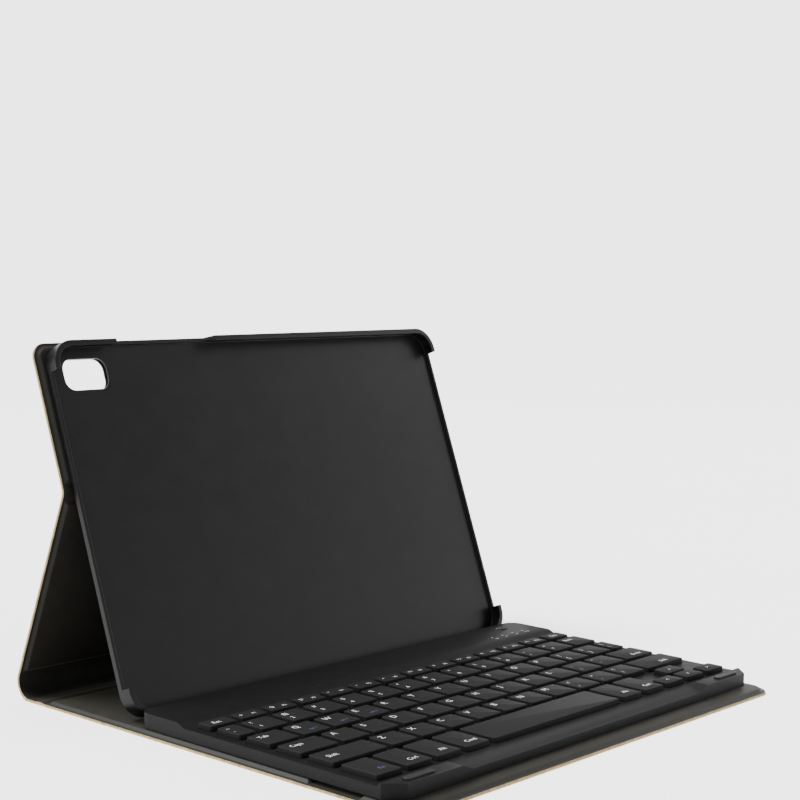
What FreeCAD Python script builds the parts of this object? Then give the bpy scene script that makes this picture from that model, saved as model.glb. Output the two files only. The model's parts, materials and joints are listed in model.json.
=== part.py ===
import FreeCAD
import Part
import math
import os
from FreeCAD import Placement, Rotation, Vector

# Folding tablet case with a detachable wireless keyboard, standing open as a typing easel.
# Millimetres. X runs across the case, Y from the typist towards the back, Z up from the table.
# Every folio panel is drawn flat in its own frame: x across, y along the unrolled folio from its
# front crease to its rear crease, z = 0 in the middle of the leather, lining side up.

# tablet that the tray is made for
tablet_width = 245.0
tablet_height = 160.0
tablet_thickness = 5.5
tablet_clearance = 0.2

# tray
tray_wall = 1.6
tray_floor = 1.2
tray_lip_height = 0.5
tray_lip_reach = 0.9
tray_corner_radius = 11.0
tray_tilt = 69.2
corner_wrap = 13.0
side_sill = 1.4
button_gap_start = 36.0
button_gap_end = 94.5
camera_width = 24.0
camera_height = 14.0
camera_corner_radius = 5.0
camera_from_side = 8.0
camera_from_top = 7.0
camera_leather_margin = 0.6
camera_bond_margin = 1.5
camera_board_margin = 2.4
bond_margin = (1.0, 2.0)

# folio
leather = 0.7
board = 1.1
lining = 0.6
adhesive = 0.3
panel_side = 3.7
panel_corner_radius = 7.0
flap_corner_radius = 10.0
board_margin = 3.0
lining_margin = 0.5
flap_length = 30.5
cover_slack = 1.4
fold_slack = 2.4
upper_length = 66.0
upper_overhang = 1.5
closing_gap = 0.4
strip_ease = 2.0
leather_setback = 1.0
stiff_setback = 4.0
roll_setback = 11.0
fold_setback = 1.8
soft_setback = 2.6
rest_gap = 0.1

# keyboard
keyboard_side = 3.0
keyboard_gap = 1.8
front_lip = 9.85
keyboard_wall = 1.6
keyboard_floor = 0.8
seam_height = 2.2
deck_height = 4.6
deck_thickness = 1.0
ridge_rise = 1.8
ridge_depth = 24.2
ridge_slope = 4.3
front_slope = 5.0
front_drop = 1.1
rear_corner_radius = 6.5
front_corner_cut = 7.0
block_length = 38.0
block_slope = 7.0
block_depth = 7.6
block_rear_slope = 2.4
block_rise = 1.4
foot_rise = 0.4
pad_seat = 0.3

# keys
keys_from_ridge = 3.1
keys_from_side = 4.5
keys_from_front = 12.7
key_gap = 3.3
row_gap = 3.4
function_key_depth = 7.8
last_row_depth = 18.6
key_rise = 2.2
key_thickness = 2.8
key_travel = 0.9
key_corner_radius = 1.0
key_edge = 0.3
key_window_clearance = 0.4
plunger = 3.4
plunger_gap = 0.15
grave_width = 9.1
backspace_width = 15.0
tab_width = 16.3
caps_width = 20.9
shift_width = 30.6
modifier_width = 14.0
arrow_width = 13.6
arrow_gap = 1.8

# keyboard innards
plate_thickness = 0.5
membrane_thickness = 0.4
dome_height = 0.35
dome_radius = 2.0
service_front = 6.6
service_gap = 3.5
battery_room = 0.3
battery_radius = 1.5
service_room = 0.5
bed_margin = 1.6
circuit_thickness = 0.8
circuit_room = 0.1
socket_width = 7.6
socket_height = 2.8
socket_depth = 6.0
socket_rim = 0.3
socket_tongue = 0.6
socket_corner_radius = 0.8
socket_from_rear = 13.4
switch_from_side = 17.0
switch_from_rear = 8.9
switch_travel = 2.0
switch_knob = 2.4
switch_stem = 1.2
switch_stands_out = 0.4
switch_engagement = 1.6
switch_wall = 0.6
light_radius = 0.7
light_count = 4
light_pitch = 8.1
lights_from_side = 36.7
screw_radius = 0.8
screw_head_radius = 1.4
screw_head_top = 0.42
screw_sink = 0.02
screw_slot = (1.4, 0.3)
boss_radius = 1.9
boss_from_wall = 0.8
screws_from_side = (17.0, 27.0)
foot_size = (22.0, 5.0)
feet_from_side = 24.0
feet_from_edge = 13.0
bumper_size = (16.5, 3.4)
bumper_from_side = 17.5
bumper_from_front = 3.9
bumper_rise = 0.7
magnet_thickness = 1.0
front_magnet = (30.0, 5.0)
rear_magnet = (11.0, 10.0)
side_magnet_from_side = 10.0
middle_magnet_x = 8.0
front_magnet_from_wall = 3.3
stored_from_crease = 20.0
keeper_size = (30.0, 9.0)

# clearances
press_gap = 0.05
slide_gap = 0.1
piece_gap = 0.15

# how far a cut runs past the face that it opens, and the smallest flat end of a round-ended pad
overcut = 1.0
pill_flat = 0.01
tolerance = 1e-6

# worked out from the values above
half_leather = leather / 2
panel_thickness = leather + board + lining
lining_top = panel_thickness - half_leather
tray_width = tablet_width + 2 * (tablet_clearance + tray_wall)
tray_height = tablet_height + 2 * (tablet_clearance + tray_wall)
tray_depth = tray_floor + tablet_thickness + tablet_clearance / 2 + tray_lip_height
ridge_height = deck_height + ridge_rise
spine_width = 2 * lining_top + foot_rise + ridge_height + closing_gap + tray_depth + adhesive
strip_width = spine_width - strip_ease
cover_length = tray_height + cover_slack
stand_length = tray_height + fold_slack - upper_length
panel_width = tray_width + 2 * panel_side
half_panel = panel_width / 2
tray_above_fold = upper_length - upper_overhang
tray_below_fold = tray_height - tray_above_fold

tilt = math.radians(tray_tilt)
tray_back = lining_top + adhesive
fold_z = panel_thickness + rest_gap + tray_below_fold * math.sin(tilt) - tray_back * math.cos(tilt)
stand_lean = math.degrees(math.asin((fold_z - half_leather) / stand_length))
lean = math.radians(stand_lean)
rear_overhang = half_leather * math.sin(lean) - leather_setback * math.cos(lean)
folio_run = flap_length + strip_width + cover_length + spine_width
flap_front = -(folio_run + rear_overhang) / 2
flap_crease = flap_front + flap_length
strip_crease = flap_crease + strip_width
cover_crease = strip_crease + cover_length
spine_crease = cover_crease + spine_width
fold_y = spine_crease - stand_length * math.cos(lean)
tray_foot_y = fold_y - tray_below_fold * math.cos(tilt) - (tray_back + tray_depth) * math.sin(tilt)
keyboard_rear = tray_foot_y - keyboard_gap
keyboard_front = flap_front + front_lip
keyboard_base = panel_thickness + foot_rise
keyboard_depth = keyboard_rear - keyboard_front
half_keyboard = half_panel - keyboard_side

# keys fill the keyboard: their pitches follow from the room between its margins
keys_from_rear = ridge_depth + ridge_slope + keys_from_ridge
keys_half_span = half_keyboard - keys_from_side
key_pitch = (2 * keys_half_span - grave_width - key_gap - backspace_width) / 12
letter_width = key_pitch - key_gap
number_row = keys_from_rear + function_key_depth + key_gap
key_row_pitch = (keyboard_depth - number_row - last_row_depth - keys_from_front) / 4
key_depth = key_row_pitch - row_gap
dome_top = keyboard_floor + plate_thickness + membrane_thickness + dome_height
cap_bottom = deck_height + key_rise - key_thickness
plunger_length = cap_bottom - key_travel - plunger_gap - dome_top
boss_hole_top = deck_height - deck_thickness - screw_head_top

os.makedirs("parts", exist_ok=True)


def save(name, shapes):
    """Writes one node: a single solid, or a compound where a node holds several pieces."""
    solids = shapes if isinstance(shapes, list) else [shapes]
    shape = solids[0] if len(solids) == 1 else Part.makeCompound(solids)
    shape.exportStep("parts/" + name + ".step")


def block(x0, x1, y0, y1, z0, z1):
    return Part.makeBox(x1 - x0, y1 - y0, z1 - z0, Vector(x0, y0, z0))


def rounded_outline(x0, x1, y0, y1, z, radii, cut_straight=()):
    """A rectangle's face with its own corners, in turn: front left, front right, rear right, rear left.

    Each corner is rounded to its radius, or cut straight across by as much if cut_straight holds it.
    """
    corners = [Vector(x0, y0, z), Vector(x1, y0, z), Vector(x1, y1, z), Vector(x0, y1, z)]
    edges = []
    ends = []
    for i, corner in enumerate(corners):
        towards_last = (corners[i - 1] - corner).normalize()
        towards_next = (corners[(i + 1) % 4] - corner).normalize()
        radius = radii[i]
        if radius:
            centre = corner + (towards_last + towards_next) * radius
            middle = centre + (corner - centre).normalize() * radius
            ends.append((corner + towards_last * radius, middle, corner + towards_next * radius))
        else:
            ends.append((corner, None, corner))
    for i, (start, middle, end) in enumerate(ends):
        if i in cut_straight:
            edges.append(Part.LineSegment(start, end).toShape())
        elif middle:
            edges.append(Part.Arc(start, middle, end).toShape())
        edges.append(Part.LineSegment(end, ends[(i + 1) % 4][0]).toShape())
    return Part.Face(Part.Wire(edges))


def slab(x0, x1, y0, y1, z0, z1, radii=(0, 0, 0, 0), cut_straight=()):
    """A flat plate with rounded or cut upright corners."""
    outline = rounded_outline(x0, x1, y0, y1, z0, radii, cut_straight)
    return outline.extrude(Vector(0, 0, z1 - z0))


def profile(points, x0, x1):
    """A prism along X whose section is a closed outline of (y, z) points."""
    corners = [Vector(x0, y, z) for y, z in points]
    return Part.Face(Part.makePolygon(corners + corners[:1])).extrude(Vector(x1 - x0, 0, 0))


def joined(first, *others):
    shape = first
    for other in others:
        shape = shape.fuse(other)
    return shape.removeSplitter()


def cylinder(radius, x, y, z0, z1):
    return Part.makeCylinder(radius, z1 - z0, Vector(x, y, z0))


# where each panel's own frame lies: its front crease, and its slope up from the table
frames = {
    "flap": Placement(Vector(0, flap_front, half_leather), Rotation()),
    "strip": Placement(Vector(0, flap_crease, half_leather), Rotation()),
    "cover": Placement(Vector(0, strip_crease, half_leather), Rotation()),
    "spine": Placement(Vector(0, cover_crease, half_leather), Rotation()),
    "stand": Placement(
        Vector(0, spine_crease, half_leather), Rotation(Vector(1, 0, 0), 180 - stand_lean)
    ),
    "upper": Placement(Vector(0, fold_y, fold_z), Rotation(Vector(1, 0, 0), tray_tilt)),
}


def put(name, panel, shapes):
    """Moves pieces from a panel's own frame to where the panel lies, and saves them."""
    moved = []
    for shape in shapes if isinstance(shapes, list) else [shapes]:
        piece = shape.copy()
        piece.Placement = frames[panel].multiply(piece.Placement)
        moved.append(piece)
    save(name, moved)


def panel_leather(length, front_gap, rear_gap, front_radius=0.0, rear_radius=0.0):
    radii = (front_radius, front_radius, rear_radius, rear_radius)
    return slab(
        -half_panel, half_panel, front_gap, length - rear_gap, -half_leather, half_leather, radii
    )


def panel_board(length, front_gap, rear_gap, front_radius=0.0, rear_radius=0.0, spare=0.0):
    """The stiff board in a panel, or, with some spare, the pocket that it lies in."""
    edge = half_panel - board_margin + spare
    radii = (front_radius, front_radius, rear_radius, rear_radius)
    return slab(
        -edge,
        edge,
        front_gap - spare,
        length - rear_gap + spare,
        half_leather,
        half_leather + board,
        radii,
    )


def panel_lining(length, front_gap, rear_gap, front_radius=0.0, rear_radius=0.0, pocket=None):
    """The lining, turned down to the leather round the board's pocket."""
    edge = half_panel - lining_margin
    radii = (front_radius, front_radius, rear_radius, rear_radius)
    sheet = slab(-edge, edge, front_gap, length - rear_gap, half_leather, lining_top, radii)
    return sheet.cut(pocket) if pocket else sheet


def soft_lining(length, front_gap, rear_gap):
    edge = half_panel - lining_margin
    return slab(-edge, edge, front_gap, length - rear_gap, half_leather, half_leather + lining)


def flat_block(centre_x, centre_y, size, z0, z1):
    return block(
        centre_x - size[0] / 2,
        centre_x + size[0] / 2,
        centre_y - size[1] / 2,
        centre_y + size[1] / 2,
        z0,
        z1,
    )


# keyboard magnets lie over magnets in the cover and flap, so both take their places from here
front_magnet_y = keyboard_front + keyboard_wall + front_magnet[1] / 2 + front_magnet_from_wall
rear_magnet_y = keyboard_rear - service_front - rear_magnet[1] / 2
front_magnet_places = [(side * half_keyboard / 2, front_magnet_y) for side in (-1, 1)]
side_magnet_x = -half_keyboard + side_magnet_from_side
rear_magnet_places = [(x, rear_magnet_y) for x in (side_magnet_x, middle_magnet_x)]


def magnets_in_board(places, size, origin_y):
    """Magnets and their pockets, in the frame of a panel that starts at origin_y."""
    z0 = half_leather
    magnets = []
    pockets = []
    pocket = (size[0] + 2 * piece_gap, size[1] + 2 * piece_gap)
    for x, y in places:
        magnets.append(flat_block(x, y - origin_y, size, z0, z0 + magnet_thickness))
        pockets.append(flat_block(x, y - origin_y, pocket, z0, z0 + board))
    return magnets, pockets


def make_flap():
    corner = flap_corner_radius
    put("flap_leather", "flap", panel_leather(flap_length, 0, leather_setback, corner))
    inner = corner - board_margin
    pieces, pockets = magnets_in_board(front_magnet_places, front_magnet, flap_front)
    stiff = (flap_length, board_margin, stiff_setback + board_margin, inner)
    put("flap_board", "flap", panel_board(*stiff).cut(pockets))
    put("flap_magnets", "flap", pieces)
    pocket = panel_board(*stiff, spare=piece_gap)
    edge = corner - lining_margin
    covering = panel_lining(flap_length, lining_margin, stiff_setback, edge, pocket=pocket)
    put("flap_lining", "flap", covering)


def make_strip():
    put("strip_leather", "strip", panel_leather(strip_width, leather_setback, leather_setback))
    put("strip_lining", "strip", soft_lining(strip_width, soft_setback, soft_setback))


def make_cover():
    put("cover_leather", "cover", panel_leather(cover_length, leather_setback, leather_setback))
    # a second pair near the spine holds the keyboard when it is kept out of the way
    stored_y = cover_crease - stored_from_crease
    places = rear_magnet_places + [(x, stored_y) for x, _ in rear_magnet_places]
    pieces, pockets = magnets_in_board(places, rear_magnet, strip_crease)
    inset = stiff_setback + board_margin
    put("cover_board", "cover", panel_board(cover_length, inset, inset).cut(pockets))
    put("cover_magnets", "cover", pieces)
    pocket = panel_board(cover_length, inset, inset, spare=piece_gap)
    covering = panel_lining(cover_length, stiff_setback, stiff_setback, pocket=pocket)
    put("cover_lining", "cover", covering)


def make_spine():
    put("spine_leather", "spine", panel_leather(spine_width, leather_setback, leather_setback))
    put("spine_lining", "spine", soft_lining(spine_width, soft_setback, soft_setback))


def make_stand():
    put("stand_leather", "stand", panel_leather(stand_length, leather_setback, leather_setback))
    # the spine rolls round onto the stand, so the board starts clear of that bend
    front = roll_setback + board_margin
    rear = fold_setback + board_margin
    put("stand_board", "stand", panel_board(stand_length, front, rear))
    pocket = panel_board(stand_length, front, rear, spare=piece_gap)
    covering = panel_lining(stand_length, stiff_setback, fold_setback, pocket=pocket)
    put("stand_lining", "stand", covering)


def camera_hole(spare, z0, z1):
    """The camera's window, near the tray's top left corner as seen from the front."""
    x0 = -tray_width / 2 + camera_from_side
    y1 = tray_above_fold - camera_from_top
    radius = camera_corner_radius + spare
    return slab(
        x0 - spare,
        x0 + camera_width + spare,
        y1 - camera_height - spare,
        y1 + spare,
        z0,
        z1,
        (radius,) * 4,
    )


def make_upper():
    corner = panel_corner_radius
    hole = camera_hole(camera_leather_margin, -leather, tray_back + overcut)
    skin = panel_leather(upper_length, leather_setback, 0, rear_radius=corner)
    put("upper_leather", "upper", skin.cut(hole))
    front = fold_setback + board_margin
    stiff = (upper_length, front, board_margin, 0, corner - board_margin)
    board_hole = camera_hole(camera_board_margin, 0, tray_back)
    keepers = []
    pockets = [board_hole]
    keeper_pocket = (keeper_size[0] + 2 * piece_gap, keeper_size[1] + 2 * piece_gap)
    for x, _ in front_magnet_places:
        y = upper_length - board_margin - keeper_size[1]
        keepers.append(
            flat_block(x, y, keeper_size, half_leather, half_leather + magnet_thickness)
        )
        pockets.append(
            flat_block(x, y, keeper_pocket, half_leather, half_leather + board)
        )
    put("upper_board", "upper", panel_board(*stiff).cut(pockets))
    put("keeper_plates", "upper", keepers)
    board_room = panel_board(*stiff, spare=piece_gap)
    pocket = board_room.cut(camera_hole(camera_board_margin - piece_gap, 0, tray_back))
    covering = panel_lining(
        upper_length, fold_setback, lining_margin, 0, corner - lining_margin, pocket
    )
    put("upper_lining", "upper", covering.cut(hole))
    bond = slab(
        -tray_width / 2 + tray_corner_radius,
        tray_width / 2 - tray_corner_radius,
        fold_setback + bond_margin[0],
        tray_above_fold - bond_margin[1],
        lining_top,
        tray_back,
    )
    put("tray_adhesive", "upper", bond.cut(camera_hole(camera_bond_margin, 0, tray_back + overcut)))


def make_tray():
    """Hard shell that grips the tablet at its corners, with its long top and bottom walls."""
    half = tray_width / 2
    low = -tray_below_fold
    high = tray_above_fold
    back = tray_back
    front = tray_back + tray_depth
    floor = tray_back + tray_floor
    lip = front - tray_lip_height
    outer_radius = tray_corner_radius
    inner_radius = outer_radius - tray_wall
    shell = slab(-half, half, low, high, back, front, (outer_radius,) * 4)
    inner = half - tray_wall
    room = slab(
        -inner, inner, low + tray_wall, high - tray_wall, floor, lip, (inner_radius,) * 4
    )
    reach = tray_wall + tray_lip_reach
    mouth = slab(
        -half + reach,
        half - reach,
        low + reach,
        high - reach,
        lip,
        front + overcut,
        (outer_radius - reach,) * 4,
    )
    shell = shell.cut([room, mouth])
    sill = floor + side_sill
    openings = []
    for side in (-1, 1):
        x0, x1 = sorted((side * (half - 2 * reach), side * (half + overcut)))
        y0, y1 = low + corner_wrap, high - corner_wrap
        openings.append(block(x0, x1, y0, y1, sill, front + overcut))
    # the gap over the tablet's buttons has one square end and one sloping end
    gap_start = -half + button_gap_start
    gap_end = -half + button_gap_end
    slope = front - sill
    corners = [
        Vector(gap_start, high - 2 * reach, sill),
        Vector(gap_end - slope, high - 2 * reach, sill),
        Vector(gap_end + overcut, high - 2 * reach, front + overcut),
        Vector(gap_start, high - 2 * reach, front + overcut),
    ]
    side_face = Part.Face(Part.makePolygon(corners + corners[:1]))
    openings.append(side_face.extrude(Vector(0, 2 * reach + overcut, 0)))
    openings.append(camera_hole(0, back - overcut, floor + overcut))
    put("tray_shell", "upper", shell.cut(openings))


# the keyboard's own frame: y = 0 at its rear edge, towards the typist is negative, z = 0 at its base
keyboard_place = Placement(Vector(0, keyboard_rear, keyboard_base), Rotation())


def put_in_keyboard(name, shapes):
    moved = []
    for shape in shapes if isinstance(shapes, list) else [shapes]:
        piece = shape.copy()
        piece.Placement = keyboard_place.multiply(piece.Placement)
        moved.append(piece)
    save(name, moved)


def fill_row(widths):
    """The (left edge, width) of each key in a row; the one width left as None fills the rest."""
    known = sum(width for width in widths if width)
    spare = 2 * keys_half_span - known - key_gap * (len(widths) - 1)
    places = []
    x = -keys_half_span
    for width in widths:
        width = width or spare
        places.append((x, width))
        x += width + key_gap
    return places


def layout():
    """Every key as (node, x, width, distance of its rear edge from the keyboard's rear, depth)."""
    keys = []

    def add(names, places, rear, depth):
        for name, (x, width) in zip(names, places):
            keys.append((name, x, width, rear, depth))

    count = 14
    width = (2 * keys_half_span - key_gap * (count - 1)) / count
    names = ["key_escape"] + ["keys_function"] * (count - 2) + ["key_delete"]
    add(names, fill_row([width] * count), keys_from_rear, function_key_depth)

    rear = number_row
    rows = [
        ("keys_numbers", grave_width, 12, "keys_numbers", "key_backspace"),
        ("key_tab", tab_width, 12, "keys_letters_top", "keys_letters_top"),
        ("key_caps_lock", caps_width, 11, "keys_letters_middle", "key_enter"),
        ("key_left_shift", shift_width, 10, "keys_letters_bottom", "key_right_shift"),
    ]
    for left, left_width, letters, middle, right in rows:
        names = [left] + [middle] * letters + [right]
        places = fill_row([left_width] + [letter_width] * letters + [None])
        add(names, places, rear, key_depth)
        rear += key_row_pitch

    names = ["key_function", "key_control", "key_alt", "key_command", "key_space"]
    names += ["key_right_alt", "key_right_control"]
    widths = [modifier_width] * 4 + [None] + [modifier_width] * 2 + [arrow_width] * 3
    places = fill_row(widths)
    add(names, places, rear, last_row_depth)
    left_arrow, up_arrow, right_arrow = places[len(names):]
    half_depth = (last_row_depth - arrow_gap) / 2
    lower = rear + half_depth + arrow_gap
    add(["key_arrow_left"], [left_arrow], lower, half_depth)
    add(["key_arrow_up"], [up_arrow], rear, half_depth)
    add(["key_arrow_down"], [up_arrow], lower, half_depth)
    add(["key_arrow_right"], [right_arrow], lower, half_depth)
    return keys


def key_cap(x, width, rear, depth):
    """A flat cap with eased top edges, and the plunger under it."""
    top = deck_height + key_rise
    bottom = cap_bottom
    cap = slab(x, x + width, -rear - depth, -rear, bottom, top, (key_corner_radius,) * 4)
    upper_edges = [e for e in cap.Edges if abs(e.BoundBox.ZMin - top) < tolerance]
    cap = cap.makeChamfer(key_edge, upper_edges)
    middle_x = x + width / 2
    middle_y = -rear - depth / 2
    size = (plunger, plunger)
    return joined(cap, flat_block(middle_x, middle_y, size, bottom - plunger_length, bottom))


def key_window(x, width, rear, depth):
    spare = key_window_clearance
    return slab(
        x - spare,
        x + width + spare,
        -rear - depth - spare,
        -rear + spare,
        deck_height - deck_thickness - overcut,
        ridge_height + overcut,
        (key_corner_radius + spare,) * 4,
    )


def make_keys(keys):
    nodes = {}
    for name, x, width, rear, depth in keys:
        nodes.setdefault(name, []).append(key_cap(x, width, rear, depth))
    for name, caps in nodes.items():
        put_in_keyboard(name, caps)


# the keyboard's front corners are cut straight across; the cut inside leaves the same wall there
front_corners = (0, 1)
corner_radii = (front_corner_cut,) * 2 + (rear_corner_radius,) * 2
inner_cut = front_corner_cut - (2 - math.sqrt(2)) * keyboard_wall
inner_radii = (inner_cut,) * 2 + (rear_corner_radius - keyboard_wall,) * 2

# things along the ridge and the front edge; screws stand just behind or in front of the walls
screw_line = keyboard_wall + boss_radius + boss_from_wall
rear_screws, front_screws = (half_keyboard - inset for inset in screws_from_side)
screw_places = [(-rear_screws, -screw_line), (0, -screw_line), (rear_screws, -screw_line)]
screw_places += [(x, -keyboard_depth + screw_line) for x in (-front_screws, 0, front_screws)]
service_rear = -service_front
service_end = -ridge_depth - ridge_slope / 2
lights_start = half_keyboard - lights_from_side
light_places = [
    (lights_start + light_pitch * i, (service_end + service_rear) / 2) for i in range(light_count)
]
socket_y = -socket_from_rear
circuit_bottom = keyboard_floor + circuit_room
circuit_top = circuit_bottom + circuit_thickness
socket_z = circuit_top + circuit_room
switch_x = half_keyboard - switch_from_side
switch_y = -switch_from_rear
foot_places = [
    (x, y)
    for x in (-half_keyboard + feet_from_side, half_keyboard - feet_from_side)
    for y in (-feet_from_edge, -keyboard_depth + feet_from_edge)
]
bumper_places = [
    (side * (half_keyboard - bumper_from_side), -keyboard_depth + bumper_from_front)
    for side in (-1, 1)
]


def socket_hole(spare, reach):
    """The charging socket's rounded mouth in the right side, as a plug that cuts it."""
    y0 = socket_y - socket_width / 2 - spare
    y1 = socket_y + socket_width / 2 + spare
    z0 = socket_z - spare
    z1 = socket_z + socket_height + spare
    body = block(half_keyboard - socket_depth, half_keyboard + reach, y0, y1, z0, z1)
    along = [e for e in body.Edges if e.BoundBox.XLength > socket_depth - slide_gap]
    return body.makeFillet(socket_corner_radius, along)


def deck_profile(inset, ceiling):
    """The side outline of the top case, from the seam up, or the room under it."""
    rear = -inset
    front = -keyboard_depth + inset
    ridge_end = -ridge_depth
    slope_end = ridge_end - ridge_slope
    ridge_top = ridge_height - ceiling
    deck_top = deck_height - ceiling
    drop_start = -keyboard_depth + front_slope
    outline = [(rear, seam_height), (rear, ridge_top), (ridge_end, ridge_top)]
    outline += [(slope_end, deck_top), (drop_start, deck_top)]
    if not ceiling:
        deck_top -= front_drop
    outline += [(front, deck_top), (front, seam_height)]
    return outline


def corner_block(side):
    """A raised block at one front corner, which slopes down to the deck behind and inwards."""
    outer = side * half_keyboard
    end = side * (half_keyboard - block_length)
    foot_end = end - side * block_slope
    base = deck_height - front_drop
    top = deck_height + block_rise
    front = -keyboard_depth
    reach = block_depth + block_rear_slope
    corners = [(outer, base), (foot_end, base), (end, top), (outer, top)]
    points = [Vector(x, front, z) for x, z in corners]
    across = Part.Face(Part.makePolygon(points + points[:1])).extrude(Vector(0, reach, 0))
    along = [(front, base), (front, top), (front + block_depth, top), (front + reach, base)]
    return across.common(profile(along, *sorted((outer, foot_end))))


def pill(x, y, size, z0, z1, spare=0.0):
    """A flat pad with round ends, or, with some spare, the seat that it lies in."""
    length = size[0] + 2 * spare
    width = size[1] + 2 * spare
    radius = width / 2 - pill_flat
    x0 = x - length / 2
    y0 = y - width / 2
    return slab(x0, x0 + length, y0, y0 + width, z0, z1, (radius,) * 4)


def make_top_case(keys):
    wall = keyboard_wall
    high = ridge_height + overcut
    edge = half_keyboard
    outline = slab(
        -edge, edge, -keyboard_depth, 0, seam_height, high, corner_radii, front_corners
    )
    body = profile(deck_profile(0, 0), -edge, edge)
    body = joined(body, corner_block(-1), corner_block(1)).common(outline)
    edge -= wall
    inner = slab(
        -edge, edge, -keyboard_depth + wall, -wall, 0, high, inner_radii, front_corners
    )
    body = body.cut(profile(deck_profile(wall, deck_thickness), -edge, edge).common(inner))
    bosses = []
    for x, y in screw_places:
        ceiling = (ridge_height if y > -ridge_depth else deck_height) - deck_thickness / 2
        boss = cylinder(boss_radius, x, y, keyboard_floor + press_gap, ceiling)
        bosses.append(boss.cut(cylinder(screw_radius + press_gap, x, y, 0, boss_hole_top)))
    body = joined(body, *bosses)
    holes = [key_window(*key[1:]) for key in keys]
    for x, y in light_places:
        holes.append(cylinder(light_radius + press_gap, x, y, 0, high))
    holes.append(socket_hole(slide_gap, overcut))
    slot = (switch_travel + switch_knob + 2 * slide_gap, switch_stem + 2 * slide_gap)
    holes.append(flat_block(switch_x, switch_y, slot, deck_height, high))
    seat = deck_height + block_rise - pad_seat
    for x, y in bumper_places:
        holes.append(pill(x, y, bumper_size, seat, high, press_gap))
    put_in_keyboard("keyboard_top_case", body.cut(holes))


def make_bottom_case():
    wall = keyboard_wall
    edge = half_keyboard
    body = slab(-edge, edge, -keyboard_depth, 0, 0, seam_height, corner_radii, front_corners)
    edge -= wall
    front = -keyboard_depth + wall
    ceiling = seam_height + overcut
    room = slab(-edge, edge, front, -wall, keyboard_floor, ceiling, inner_radii, front_corners)
    holes = [room, socket_hole(slide_gap, overcut)]
    holes += [pill(x, y, foot_size, -overcut, pad_seat, press_gap) for x, y in foot_places]
    for x, y in screw_places:
        holes.append(cylinder(screw_radius + piece_gap, x, y, -overcut, ceiling))
        seat = cylinder(screw_head_radius + slide_gap, x, y, -overcut, screw_head_top + press_gap)
        holes.append(seat)
    put_in_keyboard("keyboard_bottom_case", body.cut(holes))


def make_key_bed(keys):
    """The plate that stiffens the key area, and the switch sheet with a dome under each key."""
    edge = half_keyboard - keyboard_wall - service_room
    rear = -keys_from_rear + bed_margin
    front = -number_row - 4 * key_row_pitch - last_row_depth - key_edge
    z0 = keyboard_floor
    z1 = z0 + plate_thickness
    z2 = z1 + membrane_thickness
    put_in_keyboard("support_plate", block(-edge, edge, front, rear, z0, z1))
    sheet = block(-edge, edge, front, rear, z1, z2)
    domes = []
    for _, x, width, key_rear, depth in keys:
        middle = (x + width / 2, -key_rear - depth / 2)
        domes.append(cylinder(dome_radius, *middle, z2 - slide_gap, dome_top))
    put_in_keyboard("key_membrane", joined(sheet, *domes))


def make_power_parts():
    """Battery, controller board, charging socket and lights, in the room under the ridge."""
    side_end = side_magnet_x + rear_magnet[0] / 2 + service_gap
    middle_start = middle_magnet_x - rear_magnet[0] / 2 - service_gap
    middle_end = middle_magnet_x + rear_magnet[0] / 2 + service_gap
    ceiling = deck_height + ridge_rise / 2 - deck_thickness
    battery = slab(
        side_end,
        middle_start,
        service_end,
        service_rear,
        keyboard_floor,
        ceiling - battery_room,
        (battery_radius,) * 4,
    )
    put_in_keyboard("battery", battery)

    edge = half_keyboard - keyboard_wall - service_room
    rear = service_rear - service_gap
    board_z = (circuit_bottom, circuit_top)
    circuit = block(middle_end, edge, service_end, rear, *board_z)
    tab_half = switch_travel + switch_knob
    tab_end = switch_y + switch_stem / 2 + switch_wall + slide_gap
    tab = block(switch_x - tab_half, switch_x + tab_half, service_end, tab_end, *board_z)
    put_in_keyboard("controller_board", joined(circuit, tab))

    inner = half_keyboard - socket_depth + socket_rim
    half_mouth = socket_width / 2 - socket_rim
    mouth_z = (socket_z + socket_rim, socket_z + socket_height - socket_rim)
    mouth_y = (socket_y - half_mouth, socket_y + half_mouth)
    mouth = block(inner, half_keyboard + overcut, *mouth_y, *mouth_z)
    half_tongue = socket_width / 2 - socket_height / 2
    tongue_z = socket_z + (socket_height - socket_tongue) / 2
    tongue = block(
        inner - slide_gap,
        half_keyboard - socket_height / 2,
        socket_y - half_tongue,
        socket_y + half_tongue,
        tongue_z,
        tongue_z + socket_tongue,
    )
    put_in_keyboard("charging_socket", joined(socket_hole(0, 0).cut(mouth), tongue))

    top = ridge_height - press_gap
    lights = [cylinder(light_radius, x, y, circuit_top, top) for x, y in light_places]
    put_in_keyboard("indicator_lights", lights)


def make_power_switch():
    """A knob that shows in the ridge's top, on a stem that slides in a small housing."""
    knob_x = switch_x - switch_travel / 2
    inside = ridge_height - deck_thickness - slide_gap
    stem_end = inside - switch_engagement
    knob = flat_block(
        knob_x,
        switch_y,
        (switch_knob, switch_stem),
        stem_end,
        ridge_height + switch_stands_out,
    )
    put_in_keyboard("power_switch_knob", knob)
    channel_size = (switch_travel + switch_knob + 2 * slide_gap, switch_stem + 2 * slide_gap)
    housing_size = tuple(size + 2 * switch_wall for size in channel_size)
    housing = flat_block(switch_x, switch_y, housing_size, circuit_top + press_gap, inside)
    channel = flat_block(
        switch_x, switch_y, channel_size, stem_end - slide_gap, inside + overcut
    )
    put_in_keyboard("power_switch_housing", housing.cut(channel))


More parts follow.
